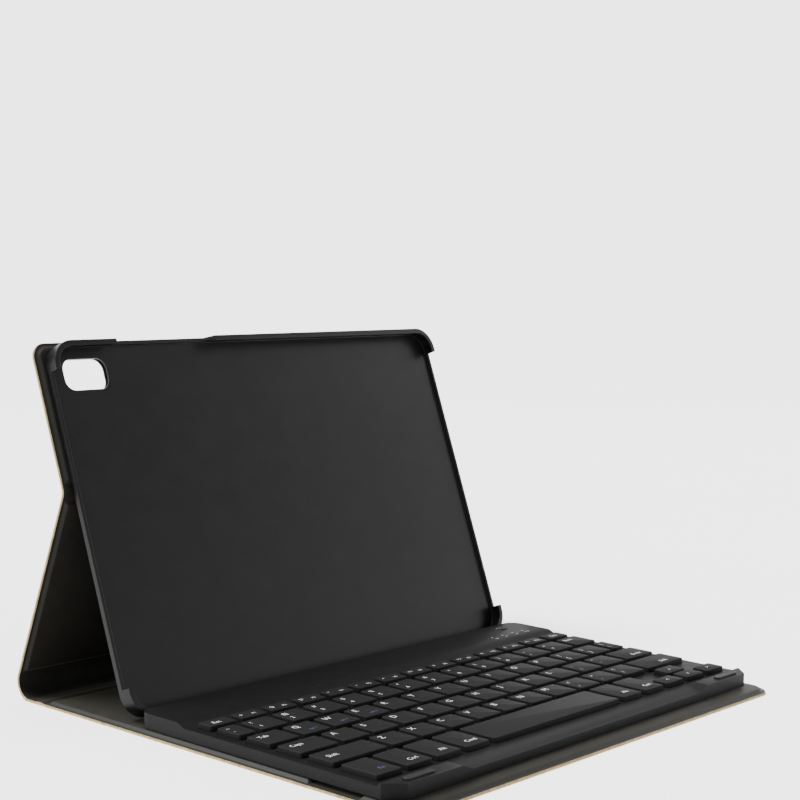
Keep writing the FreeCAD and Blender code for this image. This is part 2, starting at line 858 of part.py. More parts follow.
def make_fastenings():
    screws = []
    for x, y in screw_places:
        head = cylinder(screw_head_radius, x, y, screw_sink, screw_head_top)
        shank = cylinder(screw_radius, x, y, screw_head_top - slide_gap, boss_hole_top - piece_gap)
        arms = (screw_slot, screw_slot[::-1])
        cross = [flat_block(x, y, arm, 0, screw_head_top / 2) for arm in arms]
        screws.append(joined(head, shank).cut(cross))
    put_in_keyboard("case_screws", screws)

    z0 = keyboard_floor + press_gap
    z1 = z0 + magnet_thickness
    magnets = []
    for places, size in ((front_magnet_places, front_magnet), (rear_magnet_places, rear_magnet)):
        magnets += [flat_block(x, y - keyboard_rear, size, z0, z1) for x, y in places]
    put_in_keyboard("keyboard_magnets", magnets)

    feet = [pill(x, y, foot_size, -foot_rise, pad_seat) for x, y in foot_places]
    put_in_keyboard("keyboard_feet", feet)
    block_top = deck_height + block_rise
    pads = [
        pill(x, y, bumper_size, block_top - pad_seat, block_top + bumper_rise)
        for x, y in bumper_places
    ]
    put_in_keyboard("front_bumpers", pads)


all_keys = layout()
make_flap()
make_strip()
make_cover()
make_spine()
make_stand()
make_upper()
make_tray()
make_keys(all_keys)
make_top_case(all_keys)
make_bottom_case()
make_key_bed(all_keys)
make_power_parts()
make_power_switch()
make_fastenings()

print("nodes:", len(os.listdir("parts")))
print("creases y:", [round(y, 3) for y in (flap_crease, strip_crease, cover_crease, spine_crease)])
print("fold y, z:", round(fold_y, 3), round(fold_z, 3), "stand lean:", round(stand_lean, 3))
print("keyboard depth:", round(keyboard_depth, 3), "rear:", round(keyboard_rear, 3))
print("key pitch:", round(key_pitch, 3), "row pitch:", round(key_row_pitch, 3))
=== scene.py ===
import bpy
import bmesh
import json
import math
from mathutils import Matrix, Vector


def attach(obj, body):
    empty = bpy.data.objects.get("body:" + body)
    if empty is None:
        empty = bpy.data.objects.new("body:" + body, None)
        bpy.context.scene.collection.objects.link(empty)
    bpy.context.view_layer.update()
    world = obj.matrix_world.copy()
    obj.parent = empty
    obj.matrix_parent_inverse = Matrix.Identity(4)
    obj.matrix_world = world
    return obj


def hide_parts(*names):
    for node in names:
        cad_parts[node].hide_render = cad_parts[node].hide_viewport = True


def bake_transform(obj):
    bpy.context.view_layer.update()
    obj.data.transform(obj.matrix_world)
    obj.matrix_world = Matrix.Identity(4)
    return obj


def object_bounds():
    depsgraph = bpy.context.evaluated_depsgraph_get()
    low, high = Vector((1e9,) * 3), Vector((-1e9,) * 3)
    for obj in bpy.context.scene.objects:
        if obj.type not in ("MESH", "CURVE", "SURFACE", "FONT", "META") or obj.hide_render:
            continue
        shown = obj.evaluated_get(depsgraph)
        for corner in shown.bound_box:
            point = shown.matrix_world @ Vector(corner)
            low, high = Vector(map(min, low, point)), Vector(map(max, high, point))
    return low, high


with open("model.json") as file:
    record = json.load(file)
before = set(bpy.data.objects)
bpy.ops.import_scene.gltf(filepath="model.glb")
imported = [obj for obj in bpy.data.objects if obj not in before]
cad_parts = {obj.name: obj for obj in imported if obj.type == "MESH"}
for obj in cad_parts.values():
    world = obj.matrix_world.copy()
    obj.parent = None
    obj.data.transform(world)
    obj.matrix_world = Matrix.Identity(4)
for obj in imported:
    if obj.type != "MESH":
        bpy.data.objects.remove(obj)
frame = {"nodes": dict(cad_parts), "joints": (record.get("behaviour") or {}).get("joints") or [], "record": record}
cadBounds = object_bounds()
nodes = frame["nodes"]
mm = 0.001
print("frame loaded:", len(nodes), "nodes")

# ---- camera
viewpoint = {"azimuth": -48.761, "elevation": 5.129, "roll": 1.342,
             "place": (-0.585789, -0.507697, 0.202867), "lens": 78.87}
turn = (Matrix.Rotation(math.radians(viewpoint["azimuth"]), 4, "Z")
        @ Matrix.Rotation(math.radians(90 - viewpoint["elevation"]), 4, "X")
        @ Matrix.Rotation(math.radians(viewpoint["roll"]), 4, "Z"))
bpy.ops.object.camera_add()
camera = bpy.context.object
camera.matrix_world = Matrix.Translation(viewpoint["place"]) @ turn
camera.data.sensor_width = 36
camera.data.lens = viewpoint["lens"]
camera.data.clip_start = 0.01
bpy.context.scene.camera = camera

# ---- floor and soft light
studio = {"floorSize": 60.0, "floorGap": 0.02 * mm, "horizon": 3.7, "overhead": 0.7,
          "bright": 0.14, "dim": 0.4, "sun": 11.5, "sunFrom": (-0.32, 0.42, 0.9), "sunSpread": 32}
lamps = {
    "front": {"place": (-1.3, -1.1, 1.1), "aim": (0, 0, 0.05), "size": 1.0, "power": 8},
    "right": {"place": (1.3, -0.3, 0.9), "aim": (0, 0, 0.02), "size": 0.7, "power": 6},
}
for name, lamp in lamps.items():
    bpy.ops.object.light_add(type="AREA", location=lamp["place"])
    light = bpy.context.object
    light.name = name + "Light"
    light.data.size = lamp["size"]
    light.data.energy = lamp["power"]
    aim = Vector(lamp["aim"]) - Vector(lamp["place"])
    light.rotation_euler = aim.to_track_quat("-Z", "Y").to_euler()
bpy.ops.object.light_add(type="SUN")
sun = bpy.context.object
sun.name = "softSun"
sun.data.energy = studio["sun"]
sun.data.angle = math.radians(studio["sunSpread"])
sun.rotation_euler = Vector(studio["sunFrom"]).to_track_quat("Z", "Y").to_euler()

# a pale surround that is bright near the horizon and dims overhead, so dark tops stay dark
world = bpy.data.worlds.new("studioSky")
bpy.context.scene.world = world
world.use_nodes = True
skyNodes = world.node_tree.nodes
direction = skyNodes.new("ShaderNodeTexCoord")
height = skyNodes.new("ShaderNodeSeparateXYZ")
fade = skyNodes.new("ShaderNodeMapRange")
fade.inputs["From Min"].default_value = studio["bright"]
fade.inputs["From Max"].default_value = studio["dim"]
fade.inputs["To Min"].default_value = studio["horizon"]
fade.inputs["To Max"].default_value = studio["overhead"]
world.node_tree.links.new(direction.outputs["Generated"], height.inputs["Vector"])
world.node_tree.links.new(height.outputs["Z"], fade.inputs["Value"])
world.node_tree.links.new(fade.outputs["Result"], skyNodes["Background"].inputs["Strength"])
skyNodes["Background"].inputs["Color"].default_value = (1, 1, 1, 1)


# ---- finishes
def addNode(material, kind, settings=None, **sockets):
    node = material.node_tree.nodes.new("ShaderNode" + kind)
    for key, value in (settings or {}).items():
        setattr(node, key, value)
    for key, value in sockets.items():
        node.inputs[key.replace("_", " ")].default_value = value
    return node


def join(material, fromSocket, toSocket):
    material.node_tree.links.new(fromSocket, toSocket)


def objectPlace(material, stretch=(1, 1, 1)):
    source = addNode(material, "TexCoord")
    mapping = addNode(material, "Mapping", Scale=stretch)
    join(material, source.outputs["Object"], mapping.inputs["Vector"])
    return mapping.outputs["Vector"]


def makeFinish(name, finish):
    # two tones mixed by a broad noise, a fine grain for bump, and roughness that wanders a little
    material = bpy.data.materials.new(name)
    material.use_nodes = True
    shader = material.node_tree.nodes["Principled BSDF"]
    for socket, value in finish.get("shader", {}).items():
        shader.inputs[socket].default_value = value
    place = objectPlace(material, finish.get("stretch", (1, 1, 1)))

    broad = addNode(material, "TexNoise", Scale=finish["broadScale"], Detail=4.0, Roughness=0.6)
    join(material, place, broad.inputs["Vector"])
    tones = addNode(material, "ValToRGB")
    low, high = finish.get("toneRange", (0.3, 0.7))
    tones.color_ramp.elements[0].position = low
    tones.color_ramp.elements[1].position = high
    tones.color_ramp.elements[0].color = (*finish["dark"], 1)
    tones.color_ramp.elements[1].color = (*finish["light"], 1)
    join(material, broad.outputs["Fac"], tones.inputs["Fac"])
    join(material, tones.outputs["Color"], shader.inputs["Base Color"])

    wander = addNode(material, "MapRange", To_Min=finish["roughness"][0], To_Max=finish["roughness"][1])
    join(material, broad.outputs["Fac"], wander.inputs["Value"])
    join(material, wander.outputs["Result"], shader.inputs["Roughness"])

    if finish.get("cells"):
        fine = addNode(material, "TexVoronoi", {"feature": "SMOOTH_F1"},
                       Scale=finish["grainScale"], Smoothness=0.6)
        height = fine.outputs["Distance"]
    else:
        fine = addNode(material, "TexNoise", Scale=finish["grainScale"], Detail=3.0, Roughness=0.55)
        height = fine.outputs["Fac"]
    join(material, place, fine.inputs["Vector"])
    bump = addNode(material, "Bump", Strength=finish["grain"], Distance=finish["grainDepth"])
    join(material, height, bump.inputs["Height"])
    join(material, bump.outputs["Normal"], shader.inputs["Normal"])
    return material


finishes = {
    "navyLeather": {
        "dark": (0.0026, 0.0039, 0.0088), "light": (0.0042, 0.0061, 0.013),
        "broadScale": 420, "roughness": (0.46, 0.54),
        "grainScale": 1300, "grain": 0.6, "grainDepth": 0.0002, "cells": True, "stretch": (1, 0.4, 0.4),
        "shader": {"Specular IOR Level": 0.14}},
    "cutEdge": {
        "dark": (0.17, 0.115, 0.045), "light": (0.34, 0.25, 0.11),
        "broadScale": 400, "roughness": (0.6, 0.8),
        "grainScale": 3000, "grain": 0.4, "grainDepth": 0.0001},
    "blackLining": {
        "dark": (0.0042, 0.0041, 0.0033), "light": (0.0065, 0.0063, 0.005),
        "broadScale": 160, "roughness": (0.52, 0.62),
        "grainScale": 1900, "grain": 0.4, "grainDepth": 0.0001, "cells": True,
        "shader": {"Specular IOR Level": 0.13, "Sheen Weight": 0.07, "Sheen Roughness": 0.35,
                   "Sheen Tint": (0.9, 0.86, 0.66, 1)}},
    "trayPlastic": {
        "dark": (0.002, 0.002, 0.002), "light": (0.003, 0.003, 0.003),
        "broadScale": 90, "roughness": (0.32, 0.37),
        "grainScale": 4200, "grain": 0.12, "grainDepth": 0.00003, "shader": {"Specular IOR Level": 0.13}},
    "keyboardPlastic": {
        "dark": (0.0016, 0.0016, 0.0016), "light": (0.0025, 0.0025, 0.0025),
        "broadScale": 120, "roughness": (0.48, 0.54),
        "grainScale": 5200, "grain": 0.3, "grainDepth": 0.00004, "shader": {"Specular IOR Level": 0.1}},
    "keyCap": {
        "dark": (0.0015, 0.0015, 0.0015), "light": (0.0023, 0.0023, 0.0023),
        "broadScale": 160, "roughness": (0.68, 0.74),
        "grainScale": 6500, "grain": 0.25, "grainDepth": 0.00003, "shader": {"Specular IOR Level": 0.12}},
    "whiteInk": {
        "dark": (0.32, 0.32, 0.32), "light": (0.42, 0.42, 0.42),
        "broadScale": 900, "roughness": (0.5, 0.62),
        "grainScale": 5000, "grain": 0.15, "grainDepth": 0.00002},
    "blueInk": {
        "dark": (0.02, 0.028, 0.085), "light": (0.034, 0.046, 0.13),
        "broadScale": 900, "roughness": (0.5, 0.62),
        "grainScale": 5000, "grain": 0.15, "grainDepth": 0.00002},
    "rubber": {
        "dark": (0.0024, 0.0024, 0.0024), "light": (0.0036, 0.0036, 0.0036),
        "broadScale": 120, "roughness": (0.5, 0.6),
        "grainScale": 3500, "grain": 0.35, "grainDepth": 0.00005, "shader": {"Specular IOR Level": 0.2}},
    "lightPipe": {
        "dark": (0.006, 0.006, 0.006), "light": (0.012, 0.012, 0.012),
        "broadScale": 300, "roughness": (0.14, 0.24),
        "grainScale": 2500, "grain": 0.05, "grainDepth": 0.00002, "shader": {"Specular IOR Level": 0.3}},
    "steel": {
        "dark": (0.36, 0.36, 0.37), "light": (0.55, 0.55, 0.56),
        "broadScale": 200, "roughness": (0.26, 0.4),
        "grainScale": 1800, "grain": 0.2, "grainDepth": 0.00002, "stretch": (0.06, 1, 1),
        "shader": {"Metallic": 1.0}},
    "magnetPlate": {
        "dark": (0.5, 0.5, 0.48), "light": (0.66, 0.66, 0.63),
        "broadScale": 250, "roughness": (0.15, 0.26),
        "grainScale": 2600, "grain": 0.1, "grainDepth": 0.00002, "shader": {"Metallic": 1.0}},
    "fibreBoard": {
        "dark": (0.17, 0.15, 0.12), "light": (0.3, 0.27, 0.22),
        "broadScale": 350, "roughness": (0.8, 0.95),
        "grainScale": 900, "grain": 0.5, "grainDepth": 0.0001},
    "bondFilm": {
        "dark": (0.6, 0.6, 0.55), "light": (0.74, 0.74, 0.7),
        "broadScale": 150, "roughness": (0.3, 0.45),
        "grainScale": 1200, "grain": 0.2, "grainDepth": 0.00004},
    "switchSheet": {
        "dark": (0.5, 0.5, 0.46), "light": (0.66, 0.66, 0.62),
        "broadScale": 220, "roughness": (0.4, 0.55),
        "grainScale": 2200, "grain": 0.15, "grainDepth": 0.00003},
    "foilPouch": {
        "dark": (0.44, 0.45, 0.46), "light": (0.62, 0.63, 0.64),
        "broadScale": 90, "roughness": (0.28, 0.42),
        "grainScale": 700, "grain": 0.3, "grainDepth": 0.0001, "shader": {"Metallic": 0.85}},
    "greenLaminate": {
        "dark": (0.006, 0.055, 0.022), "light": (0.012, 0.1, 0.04),
        "broadScale": 260, "roughness": (0.3, 0.42),
        "grainScale": 1500, "grain": 0.2, "grainDepth": 0.00004},
    "studioFloor": {
        "dark": (0.91, 0.91, 0.91), "light": (0.93, 0.93, 0.93),
        "broadScale": 3, "roughness": (0.75, 0.85),
        "grainScale": 60, "grain": 0.02, "grainDepth": 0.0005},
}
paint = {name: makeFinish(name, finish) for name, finish in finishes.items()}
slotFinish = {
    "navy_leather": "navyLeather", "black_lining": "blackLining", "greyboard": "fibreBoard",
    "magnet": "magnetPlate", "steel": "steel", "adhesive": "bondFilm", "tray_plastic": "trayPlastic",
    "keyboard_plastic": "keyboardPlastic", "key_cap": "keyCap", "membrane": "switchSheet",
    "rubber": "rubber", "battery_pouch": "foilPouch", "circuit_board": "greenLaminate",
    "light_pipe": "lightPipe",
}
for part in frame["record"]["subparts"]:
    node = nodes[part["node"]]
    node.data.materials.clear()
    node.data.materials.append(paint[slotFinish[part["material_slot"]]])
print("finishes:", len(paint))


# ---- small modelling helpers
def dropPicks():
    bpy.ops.object.select_all(action="DESELECT")


def pick(thing):
    dropPicks()
    thing.select_set(True)
    bpy.context.view_layer.objects.active = thing


def chooseEdges(mesh, test):
    for edge in mesh.edges:
        edge.select_set(test(edge))


def editMode(thing, mode="FACE"):
    pick(thing)
    bpy.ops.object.mode_set(mode="EDIT")
    bpy.ops.mesh.select_mode(type=mode)
    bpy.ops.mesh.select_all(action="DESELECT")
    return bmesh.from_edit_mesh(thing.data)


def leaveEdit():
    bpy.ops.object.mode_set(mode="OBJECT")


def addModifier(thing, kind, **values):
    pick(thing)
    modifier = thing.modifiers.new(kind.lower(), kind)
    for key, value in values.items():
        setattr(modifier, key, value)
    bpy.ops.object.modifier_apply(modifier=modifier.name)


def smooth(thing, angle=35):
    pick(thing)
    bpy.ops.object.shade_smooth_by_angle(angle=math.radians(angle))


def placeBy(thing, matrix):
    thing.matrix_world = matrix @ thing.matrix_world
    pick(thing)
    bpy.ops.object.transform_apply(location=True, rotation=True, scale=True)


def joinPieces(name, things):
    dropPicks()
    for thing in things:
        thing.select_set(True)
    bpy.context.view_layer.objects.active = things[0]
    if len(things) > 1:
        bpy.ops.object.join()
    things[0].name = name
    return things[0]


def wear(thing, finishNames):
    thing.data.materials.clear()
    for name in finishNames:
        thing.data.materials.append(paint[name])


def finishPiece(thing, finishNames, body=None, stands=()):
    if not thing.data.materials:
        wear(thing, finishNames)
    if body:
        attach(thing, body)
    if stands:
        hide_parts(*stands)


bpy.ops.mesh.primitive_plane_add(size=studio["floorSize"])
floor = bpy.context.object
floor.name = "studioFloor"
editMode(floor)
bpy.ops.mesh.select_all(action="SELECT")
bpy.ops.transform.translate(value=(0, 0, -studio["floorGap"]))
leaveEdit()
floor.data.materials.append(paint["studioFloor"])

# ---- folio: where each panel lies, from the hinges
hinge = {joint["name"]: Vector(joint["pos_m"]) for joint in frame["joints"] if "pos_m" in joint}
mounts = {mount["name"]: mount for mount in frame["record"]["mounts"]}
seatAxis = Vector(mounts["tablet_seat"]["axis"])
trayTilt = math.atan2(-seatAxis.y, seatAxis.z)
flapCrease = hinge["closure_flap_fold"]
stripCrease = hinge["closure_strip_fold"]
coverCrease = hinge["spine_fold"]
spineCrease = hinge["stand_fold"]
trayFold = hinge["tray_fold"]
standRise = math.atan2(trayFold.z - spineCrease.z, trayFold.y - spineCrease.y)
flapFront = Vector((0, cadBounds[0].y, flapCrease.z))
upperLength = 66 * mm
panels = {
    "flap": {"start": flapFront, "rise": 0.0, "length": (flapCrease - flapFront).length},
    "strip": {"start": flapCrease, "rise": 0.0, "length": (stripCrease - flapCrease).length},
    "cover": {"start": stripCrease, "rise": 0.0, "length": (coverCrease - stripCrease).length},
    "spine": {"start": coverCrease, "rise": 0.0, "length": (spineCrease - coverCrease).length},
    "stand": {"start": spineCrease, "rise": standRise, "length": (trayFold - spineCrease).length},
    "upper": {"start": trayFold, "rise": trayTilt, "length": upperLength},
}
for panel in panels.values():
    panel["place"] = Matrix.Translation(panel["start"]) @ Matrix.Rotation(panel["rise"], 4, "X")
folio = {
    "halfWidth": cadBounds[1].x, "leather": 0.7 * mm, "lining": 0.35 * mm, "board": 1.35 * mm,
    "liningInset": 0.15 * mm, "creaseReach": 3.0 * mm, "rollReach": 11.4 * mm, "foldReach": 2.6 * mm,
    "grooveFromEdge": 4.4 * mm, "grooveSide": 0.8 * mm, "grooveDepth": 0.62 * mm,
    "boardMargin": 1.2 * mm, "boardSlope": 1.4 * mm, "grooveEase": 0.25 * mm, "boardEase": 0.5 * mm,
    "flapCorner": 10 * mm, "upperCorner": 7 * mm, "coverWave": 0.3 * mm,
}
halfLeather = folio["leather"] / 2


def flatSheet(name, halfWidth, front, rear, height, corners):
    # a plane with rounded corners; corners holds (front radius, rear radius)
    dropPicks()
    bpy.ops.mesh.primitive_plane_add(size=1, location=(0, 0, 0))
    sheet = bpy.context.object
    sheet.name = name
    editMode(sheet, "VERT")
    bpy.ops.mesh.select_all(action="SELECT")
    bpy.ops.transform.resize(value=(2 * halfWidth, rear - front, 1))
    bpy.ops.transform.translate(value=(0, (front + rear) / 2, height))
    middle = (front + rear) / 2
    for radius, isRear in ((corners[0], False), (corners[1], True)):
        if radius:
            bpy.ops.mesh.select_all(action="DESELECT")
            mesh = bmesh.from_edit_mesh(sheet.data)
            for vertex in mesh.verts:
                if (vertex.co.y > middle) == isRear:
                    vertex.select_set(True)
            bpy.ops.mesh.bevel(offset=radius, affect="VERTICES", segments=8)
    leaveEdit()
    return sheet


def leatherPanel(name, panel, body, frontGap, rearGap, corners=(0, 0), groove=True):
    length = panels[panel]["length"]
    sheet = flatSheet(name, folio["halfWidth"], frontGap, length - rearGap, -halfLeather, corners)
    wear(sheet, ["navyLeather", "cutEdge"])
    editMode(sheet)
    bpy.ops.mesh.select_all(action="SELECT")
    bpy.ops.mesh.flip_normals()
    if groove:
        side = folio["grooveSide"]
        bpy.ops.mesh.inset(thickness=folio["grooveFromEdge"])
        bpy.ops.mesh.inset(thickness=side, depth=-folio["grooveDepth"])
        bpy.ops.mesh.inset(thickness=side * 0.6)
        bpy.ops.mesh.inset(thickness=side, depth=folio["grooveDepth"])
    leaveEdit()
    if groove:
        addModifier(sheet, "BEVEL", width=folio["grooveEase"], segments=2, limit_method="ANGLE",
                    angle_limit=math.radians(12))
    addModifier(sheet, "SOLIDIFY", thickness=folio["leather"], offset=-1, material_offset_rim=1)
    smooth(sheet, 40)
    placeBy(sheet, panels[panel]["place"])
    finishPiece(sheet, [], body, [panel + "_leather"])
    return sheet


def liningPanel(name, panel, body, frontGap, rearGap, corners=(0, 0), raised=True):
    length = panels[panel]["length"]
    top = halfLeather + folio["lining"]
    inset = folio["liningInset"]
    sheet = flatSheet(name, folio["halfWidth"] - inset, frontGap, length - rearGap, top, corners)
    if raised:
        editMode(sheet)
        bpy.ops.mesh.select_all(action="SELECT")
        bpy.ops.mesh.inset(thickness=folio["boardMargin"])
        bpy.ops.mesh.inset(thickness=folio["boardSlope"], depth=folio["board"])
        leaveEdit()
        addModifier(sheet, "BEVEL", width=folio["boardEase"], segments=3, limit_method="ANGLE",
                    angle_limit=math.radians(12))
    wear(sheet, ["blackLining", "cutEdge"])
    addModifier(sheet, "SOLIDIFY", thickness=folio["lining"], offset=-1, material_offset_rim=1)
    smooth(sheet, 50)
    placeBy(sheet, panels[panel]["place"])
    finishPiece(sheet, [], body, [panel + "_lining"])
    return sheet


def creaseSheet(name, before, after, reach, halfWidth, height, thickness, finishNames,
                steps=12, wave=0.0):
    # a sheet across the crease between two panels: it starts square to one and turns onto the other
    crease = panels[after]["start"]
    rise = panels[before]["rise"]
    bend = panels[after]["rise"] - rise
    along = Vector((0, math.cos(rise), math.sin(rise)))
    liningSide = Vector((0, -math.sin(rise), math.cos(rise)))
    start = crease - along * reach + liningSide * height
    dropPicks()
    bpy.ops.mesh.primitive_plane_add(size=2 * halfWidth)
    sheet = bpy.context.object
    sheet.name = name
    mesh = editMode(sheet, "VERT")
    for vertex in mesh.verts:
        vertex.select_set(vertex.co.y > 0)
    bpy.ops.mesh.delete(type="VERT")
    bpy.ops.mesh.select_all(action="SELECT")
    bpy.ops.transform.translate(value=start + Vector((0, halfWidth, 0)))
    if abs(bend) < 0.01:
        for step in range(steps):
            hump = wave * (math.sin(math.pi * (step + 1) / steps) - math.sin(math.pi * step / steps))
            move = along * (2 * reach / steps) + liningSide * hump
            bpy.ops.mesh.extrude_region_move(TRANSFORM_OT_translate={"value": move})
    else:
        radius = reach / math.tan(abs(bend) / 2)
        centre = crease - along * reach + liningSide * math.copysign(radius, bend)
        bpy.ops.mesh.spin(steps=steps, angle=-bend, center=centre, axis=(1, 0, 0))
    bpy.ops.mesh.select_all(action="SELECT")
    bpy.ops.mesh.normals_make_consistent(inside=False)
    mesh = bmesh.from_edit_mesh(sheet.data)
    mesh.faces.ensure_lookup_table()
    if mesh.faces[0].normal.dot(liningSide) > 0:
        bpy.ops.mesh.flip_normals()
    leaveEdit()
    wear(sheet, finishNames)
    addModifier(sheet, "SOLIDIFY", thickness=thickness, offset=0, material_offset_rim=1)
    smooth(sheet, 50)
    return sheet


def crease(name, before, after, reach, wave=0.0, steps=12):
    skin = creaseSheet(name + "Leather", before, after, reach, folio["halfWidth"], 0, folio["leather"],
                       ["navyLeather", "cutEdge"], steps, wave)
    finishPiece(skin, [])
    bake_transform(skin)
    inner = creaseSheet(name + "Lining", before, after, reach, folio["halfWidth"] - folio["liningInset"],
                        halfLeather + folio["lining"] / 2, folio["lining"],
                        ["blackLining", "cutEdge"], steps, wave)
    finishPiece(inner, [])
    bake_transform(inner)


reach, roll, fold = folio["creaseReach"], folio["rollReach"], folio["foldReach"]
leatherPanel("flapSkin", "flap", "flap", 0, reach, (folio["flapCorner"], 0))
liningPanel("flapInner", "flap", "flap", folio["liningInset"], reach,
            (folio["flapCorner"] - folio["liningInset"], 0))
leatherPanel("stripSkin", "strip", "strip", reach, reach, groove=False)
liningPanel("stripInner", "strip", "strip", reach, reach, raised=False)
leatherPanel("coverSkin", "cover", "cover", reach, reach)
liningPanel("coverInner", "cover", "cover", reach, reach)
leatherPanel("spineSkin", "spine", "spine", reach, roll, groove=False)
liningPanel("spineInner", "spine", "spine", reach, roll, raised=False)
leatherPanel("standSkin", "stand", "stand", roll, fold)
liningPanel("standInner", "stand", "stand", roll, fold)
upperSkin = leatherPanel("upperSkin", "upper", "upper", fold, 0, (0, folio["upperCorner"]))
upperInner = liningPanel("upperInner", "upper", "upper", fold, folio["liningInset"],
                         (0, folio["upperCorner"] - folio["liningInset"]))
crease("flapCrease", "flap", "strip", reach)
crease("stripCrease", "strip", "cover", reach)
crease("coverCrease", "cover", "spine", reach, wave=folio["coverWave"])
crease("spineRoll", "spine", "stand", roll, steps=18)
crease("trayFold", "stand", "upper", fold, steps=8)
print("folio: 6 panels and 5 creases")

# ---- camera window through the upper panel
opening = next(o for o in frame["record"]["physics"]["openings"] if o["name"] == "camera_window")
low, high = (Vector(point) for point in opening["box_m"])
windowCentre = panels["upper"]["place"].inverted() @ ((low + high) / 2)
window = {"width": 25.2 * mm, "height": 15.2 * mm, "corner": 5.6 * mm, "depth": 12 * mm}
for panelPiece in (upperSkin, upperInner):
    dropPicks()
    bpy.ops.mesh.primitive_cube_add(size=1)
    cutter = bpy.context.object
    editMode(cutter, "EDGE")
    bpy.ops.mesh.select_all(action="SELECT")
    bpy.ops.transform.resize(value=(window["width"], window["height"], window["depth"]))
    bpy.ops.transform.translate(value=(windowCentre.x, windowCentre.y, 0))
    mesh = bmesh.from_edit_mesh(cutter.data)
    chooseEdges(mesh, lambda edge: abs(edge.verts[0].co.z - edge.verts[1].co.z) > 1 * mm)
    bpy.ops.mesh.bevel(offset=window["corner"], segments=8)
    leaveEdit()
    placeBy(cutter, panels["upper"]["place"])
    addModifier(panelPiece, "BOOLEAN", object=cutter, operation="DIFFERENCE", solver="EXACT")
    bpy.data.objects.remove(cutter)


# ---- moulded parts: the CAD shape with its edges eased
mergeGap = 0.004 * mm


def easedCopy(name, node, width, segments=2, angle=30, dissolve=0.6):
    source = nodes[node]
    copy = bpy.data.objects.new(name, source.data.copy())
    bpy.context.scene.collection.objects.link(copy)
    editMode(copy, "VERT")
    bpy.ops.mesh.select_all(action="SELECT")
    bpy.ops.mesh.remove_doubles(threshold=mergeGap)
    bpy.ops.mesh.dissolve_limited(angle_limit=math.radians(dissolve))
    leaveEdit()
    addModifier(copy, "BEVEL", width=width, segments=segments, limit_method="ANGLE",
                angle_limit=math.radians(angle), use_clamp_overlap=True)
    addModifier(copy, "TRIANGULATE")
    smooth(copy, 38)
    addModifier(copy, "WEIGHTED_NORMAL", mode="FACE_AREA_WITH_ANGLE", weight=90, keep_sharp=True)
    return copy


moulded = {
    "trayShell": {"node": "tray_shell", "ease": 0.42 * mm, "segments": 3, "body": "upper"},
    "topCase": {"node": "keyboard_top_case", "ease": 0.3 * mm, "segments": 2, "body": "keyboard"},
    "bottomCase": {"node": "keyboard_bottom_case", "ease": 0.25 * mm, "segments": 2, "body": "keyboard"},
    "frontPads": {"node": "front_bumpers", "ease": 0.25 * mm, "segments": 3, "body": "keyboard"},
    "feet": {"node": "keyboard_feet", "ease": 0.15 * mm, "segments": 2, "body": "keyboard"},
    "switchKnob": {"node": "power_switch_knob", "ease": 0.12 * mm, "segments": 2, "body": "power_switch"},
}
slotOf = {part["node"]: part["material_slot"] for part in frame["record"]["subparts"]}
for name, part in moulded.items():
    piece = easedCopy(name, part["node"], part["ease"], part["segments"])
    slotName = slotOf[part["node"]]
    finishPiece(piece, [slotFinish[slotName]], part["body"], [part["node"]])
print("moulded parts:", len(moulded))


# ---- keys
cap = {"thickness": 2.8 * mm, "corner": 1.0 * mm, "topEase": 0.32 * mm}


def solidBoxes(node):
    # the box of each separate solid in a node, from left to right
    mesh = bmesh.new()
    mesh.from_mesh(nodes[node].data)
    bmesh.ops.remove_doubles(mesh, verts=mesh.verts, dist=mergeGap)
    left = set(mesh.verts)
    boxes = []
    while left:
        group = [left.pop()]
        for vertex in group:
            for edge in vertex.link_edges:
                other = edge.other_vert(vertex)
                if other in left:
                    left.remove(other)
                    group.append(other)
        low = Vector(min(v.co[i] for v in group) for i in range(3))
        high = Vector(max(v.co[i] for v in group) for i in range(3))
        boxes.append((low, high))
    mesh.free()
    return sorted(boxes, key=lambda box: box[0].x)


def makeCap(low, high):
    dropPicks()
    size = Vector((high.x - low.x, high.y - low.y, cap["thickness"]))
    middle = Vector(((low.x + high.x) / 2, (low.y + high.y) / 2, high.z - size.z / 2))
    bpy.ops.mesh.primitive_cube_add(size=1)
    key = bpy.context.object
    editMode(key, "EDGE")
    bpy.ops.mesh.select_all(action="SELECT")
    bpy.ops.transform.resize(value=size)
    bpy.ops.transform.translate(value=middle)
    mesh = bmesh.from_edit_mesh(key.data)
    chooseEdges(mesh, lambda edge: abs(edge.verts[0].co.z - edge.verts[1].co.z) > size.z / 2)
    bpy.ops.mesh.bevel(offset=cap["corner"], segments=4)
    mesh = bmesh.from_edit_mesh(key.data)
    chooseEdges(mesh, lambda edge: all(v.co.z > high.z - 0.01 * mm for v in edge.verts))
    bpy.ops.mesh.bevel(offset=cap["topEase"], segments=3)
    leaveEdit()
    return key


ink = {"lift": 0.015 * mm, "thickness": 0.02 * mm}


def addMark(text, box, across, along, size, align="LEFT"):
    # across and along are shares of the cap from its left and front edges
    low, high = box
    dropPicks()
    bpy.ops.object.text_add()
    mark = bpy.context.object
    mark.data.body = text
    mark.data.size = size
    mark.data.align_x = align
    mark.data.align_y = "CENTER"
    mark.data.resolution_u = 3
    pick(mark)
    bpy.ops.object.convert(target="MESH")
    mark = bpy.context.object
    place = Vector((low.x + (high.x - low.x) * across, low.y + (high.y - low.y) * along,
                    high.z + ink["lift"]))
    placeBy(mark, Matrix.Translation(place))
    return mark


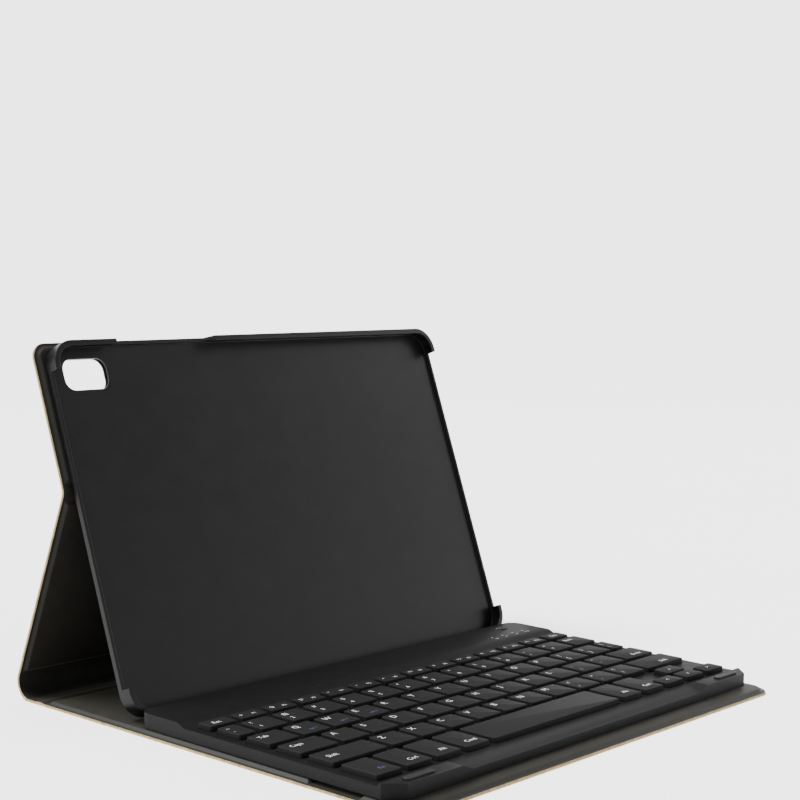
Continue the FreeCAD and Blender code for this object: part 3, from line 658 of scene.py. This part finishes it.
letterSize, signSize, wordSize, smallSize = 4.2 * mm, 3.2 * mm, 3.3 * mm, 2.1 * mm
rowMarks = {
    "keys_function": list(zip(["o", "Q", "D", "*", "-", "+", "<<", ">", ">>", "x", "-)", "+)"],
                              ["F%d" % (i + 1) for i in range(12)])),
    "keys_numbers": list(zip("~!@#$%^&*()_+", "`1234567890-=")),
    "keys_letters_top": list(zip("QWERTYUIOP{}|", ["", "", "", "", "", "", "", "", "", "", "[", "]", "\\"])),
    "keys_letters_middle": list(zip("ASDFGHJKL:\"", ["", "", "", "", "", "", "", "", "", ";", "'"])),
    "keys_letters_bottom": list(zip("ZXCVBNM<>?", ["", "", "", "", "", "", "", ",", ".", "/"])),
}
blueMarks = {"keys_letters_top": {0: "sys 1", 1: "sys 2", 2: "sys 3"}}
wordMarks = {
    "key_escape": ("Esc", 0.28, 0.45), "key_delete": ("Del", 0.28, 0.45),
    "key_backspace": ("Back", 0.12, 0.72),
    "key_tab": ("Tab", 0.14, 0.66), "key_caps_lock": ("Caps", 0.14, 0.66), "key_enter": ("Enter", 0.42, 0.3),
    "key_left_shift": ("Shift", 0.12, 0.5), "key_right_shift": ("Shift", 0.52, 0.3),
    "key_control": ("Ctrl", 0.4, 0.28), "key_alt": ("Alt", 0.46, 0.28), "key_command": ("Cmd", 0.36, 0.28),
    "key_right_alt": ("Alt", 0.46, 0.28), "key_right_control": ("Ctrl", 0.4, 0.28),
    "key_arrow_left": ("<", 0.4, 0.5), "key_arrow_up": ("^", 0.4, 0.4),
    "key_arrow_down": ("v", 0.4, 0.5), "key_arrow_right": (">", 0.4, 0.5),
}
keyNodes = sorted(node for node, slotName in slotOf.items() if slotName == "key_cap")
for node in keyNodes:
    boxes = solidBoxes(node)
    caps = [makeCap(*box) for box in boxes]
    keys = joinPieces(node + "_caps", caps)
    smooth(keys, 30)
    body = node + "_body"
    finishPiece(keys, ["keyCap"], body, [node])
    white, blue = [], []
    for i, box in enumerate(boxes):
        if node == "keys_function":
            sign, word = rowMarks[node][i]
            white.append(addMark(sign, box, 0.14, 0.55, smallSize * 1.3))
            white.append(addMark(word, box, 0.58, 0.4, smallSize * 1.1))
        elif node in rowMarks:
            upper, lower = rowMarks[node][i]
            isLetter = upper.isalpha()
            white.append(addMark(upper, box, 0.16, 0.72, letterSize if isLetter else signSize))
            if lower:
                white.append(addMark(lower, box, 0.16, 0.3, signSize))
        elif node in wordMarks:
            word, across, along = wordMarks[node]
            white.append(addMark(word, box, across, along, wordSize))
        if i in blueMarks.get(node, {}):
            blue.append(addMark(blueMarks[node][i], box, 0.42, 0.3, smallSize * 1.1))
        if node == "key_function":
            blue.append(addMark("Fn", box, 0.5, 0.3, signSize))
    for marks, finish, word in ((white, "whiteInk", "_legend"), (blue, "blueInk", "_blueLegend")):
        if marks:
            legend = joinPieces(node + word, marks)
            finishPiece(legend, [finish], body)
print("keys:", len(keyNodes), "nodes")

# ---- small words in front of the lights, and one behind the switch
ridgeTop = max(vertex.co.z for vertex in nodes["keyboard_top_case"].data.vertices)
ridgeMarks = []
ridgeWords = {"indicator_lights": (["caps", "on", "pair", "charge"], -1.6),
              "power_switch_knob": (["off  on"], 3.4)}
for node, (words, offset) in ridgeWords.items():
    for word, (low, high) in zip(words, solidBoxes(node)):
        top = Vector((high.x, high.y, ridgeTop))
        ridgeMarks.append(addMark(word, (low, top), 0.5, offset, 1.5 * mm, "CENTER"))
finishPiece(joinPieces("ridge_legend", ridgeMarks), ["whiteInk"], "keyboard")

# ---- end
print("scene built")
